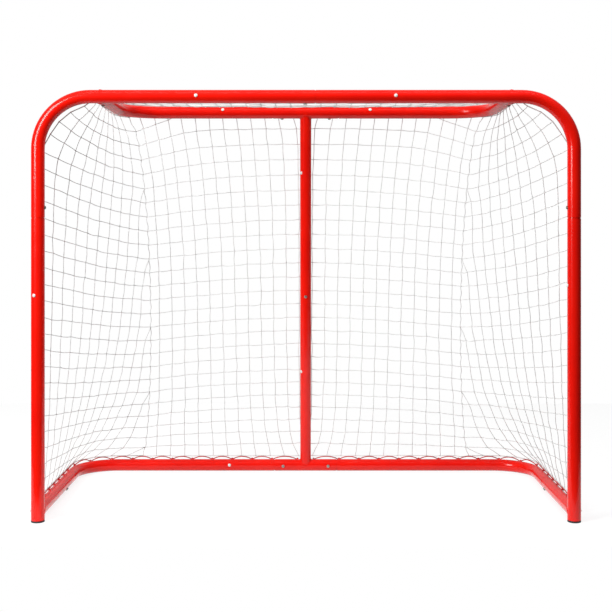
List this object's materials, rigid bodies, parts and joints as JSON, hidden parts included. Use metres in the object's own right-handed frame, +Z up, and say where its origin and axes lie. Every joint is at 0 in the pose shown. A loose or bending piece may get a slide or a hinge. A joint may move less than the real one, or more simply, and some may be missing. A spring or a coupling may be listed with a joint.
{
  "type": "street hockey goal",
  "caption": "Free-standing hockey goal: bolted red steel tubes with a white knotted net, laced with red cord to the base rails.",
  "frame": {"origin": "middle of the goal's footprint box on the surface that it stands on", "axes": "+X across the mouth, to the right as seen from the front; +Y from the mouth to the back; +Z up"},
  "size_m": [1.42, 0.612, 1.1179],
  "materials": {
    "red_powder_coat": "glossy red powder coat over steel tube",
    "black_plastic": "matt moulded end cap",
    "white_plastic": "small domed hole plugs",
    "zinc_steel": "dull zinc-plated fasteners",
    "white_twine": "twisted white net twine",
    "red_cord": "braided red lacing cord"
  },
  "bodies": {
    "root": {"upper_left_frame": "red_powder_coat", "upper_right_frame": "red_powder_coat", "lower_left_post": "red_powder_coat", "lower_right_post": "red_powder_coat", "base_rail_left": "red_powder_coat", "base_rail_right": "red_powder_coat", "shelf_rail_left": "red_powder_coat", "shelf_rail_right": "red_powder_coat", "centre_post_upper": "red_powder_coat", "centre_post_lower": "red_powder_coat", "post_cap_left": "black_plastic", "post_cap_right": "black_plastic", "crossbar_bolt": "zinc_steel", "centre_post_bolt": "zinc_steel", "post_bolt_left": "zinc_steel", "base_side_bolt_left": "zinc_steel", "shelf_side_bolt_left": "zinc_steel", "shelf_tee_bolt_left": "zinc_steel", "base_tee_bolt_left": "zinc_steel", "post_bolt_right": "zinc_steel", "base_side_bolt_right": "zinc_steel", "shelf_side_bolt_right": "zinc_steel", "shelf_tee_bolt_right": "zinc_steel", "base_tee_bolt_right": "zinc_steel", "crossbar_nut": "zinc_steel", "centre_post_nut": "zinc_steel", "post_nut_left": "zinc_steel", "base_side_nut_left": "zinc_steel", "shelf_side_nut_left": "zinc_steel", "shelf_tee_nut_left": "zinc_steel", "base_tee_nut_left": "zinc_steel", "post_nut_right": "zinc_steel", "base_side_nut_right": "zinc_steel", "shelf_side_nut_right": "zinc_steel", "shelf_tee_nut_right": "zinc_steel", "base_tee_nut_right": "zinc_steel", "crossbar_plug_left": "white_plastic", "crossbar_plug_right": "white_plastic", "post_plug_left": "white_plastic", "post_plug_right": "white_plastic", "centre_post_plug_upper": "white_plastic", "centre_post_plug_lower": "white_plastic", "shelf_plug_left": "white_plastic", "shelf_plug_right": "white_plastic", "base_plug": "white_plastic", "lacing_cord_left": "red_cord", "lacing_cord_right": "red_cord", "seam_cord_left": "white_twine", "seam_cord_right": "white_twine", "net_left": "white_twine", "net_right": "white_twine", "net_back": "white_twine", "net_top": "white_twine"}
  },
  "joints": []
}
